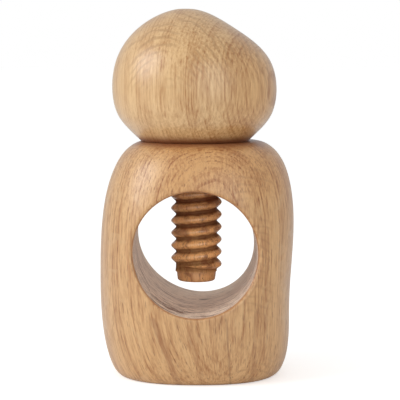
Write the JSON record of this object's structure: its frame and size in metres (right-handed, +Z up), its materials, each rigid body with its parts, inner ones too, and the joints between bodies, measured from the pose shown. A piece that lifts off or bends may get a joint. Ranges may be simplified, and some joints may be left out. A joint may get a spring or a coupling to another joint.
{
  "type": "screw nutcracker",
  "caption": "Wooden screw nutcracker: a rounded oak block with a round through window, and a dark threaded screw turned by a pebble-shaped knob on top.",
  "frame": {"origin": "on the flat underside of the block, where the screw's axis meets the table", "axes": "+Z up along the screw's axis, +Y along the window's bore from the front to the back, +X to the right seen from the front"},
  "size_m": [0.0854, 0.0806, 0.1604],
  "materials": {
    "block_oak": "fine sanded oak with a satin oil finish",
    "screw_wood": "dark stained oak, turned and threaded, satin oil finish",
    "knob_oak": "fine sanded oak with a satin oil finish",
    "dowel_wood": "plain beech, glued in"
  },
  "bodies": {
    "block": {"block": "block_oak"},
    "screw_lift": {"centre_dowel": "dowel_wood"},
    "spindle": {"screw": "screw_wood", "knob": "knob_oak"}
  },
  "joints": [
    {"name": "screw_rise", "type": "slide", "parent": "block", "child": "screw_lift", "axis": [0, 0, 1], "range_m": [0, 0.0427]},
    {"name": "screw_turn", "type": "hinge", "parent": "screw_lift", "child": "spindle", "pos_m": [0, 0, 0.1027], "axis": [0, 0, 1], "range_deg": [0, 2790]}
  ],
  "couplings": [
    {"joint": "screw_rise", "follows": "screw_turn", "m_per_rad": 0.00087535}
  ]
}
